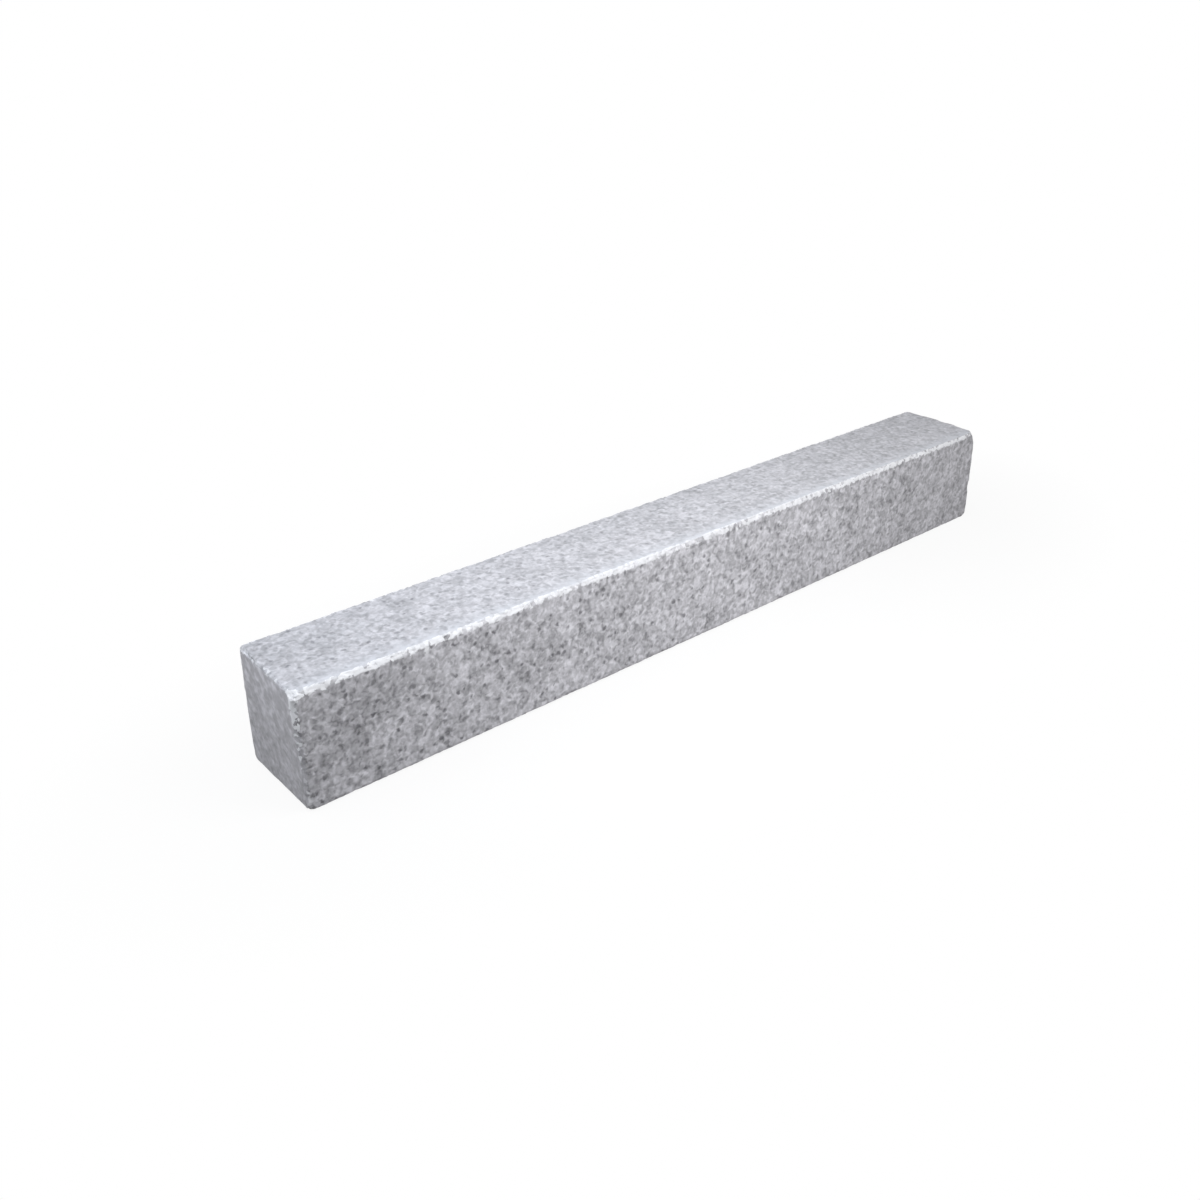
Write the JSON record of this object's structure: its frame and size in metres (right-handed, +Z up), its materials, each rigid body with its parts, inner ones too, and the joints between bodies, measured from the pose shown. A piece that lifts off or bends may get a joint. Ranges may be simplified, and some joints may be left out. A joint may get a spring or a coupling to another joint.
{
  "type": "granite kerb stone",
  "caption": "Straight kerb stone of nearly square section, of sawn grey granite with bevelled arrises, bedded end to end in concrete to edge roads, paths and planting beds.",
  "frame": {"origin": "middle of the bed, the underside that the stone rests on", "axes": "+X along the length, -Y out of the face towards the road, +Z up"},
  "size_m": [1, 0.115, 0.125],
  "materials": {
    "granite": "sawn grey granite, medium grained, matt, with paler bruised arrises"
  },
  "bodies": {
    "root": {"kerb_stone": "granite"}
  },
  "joints": []
}
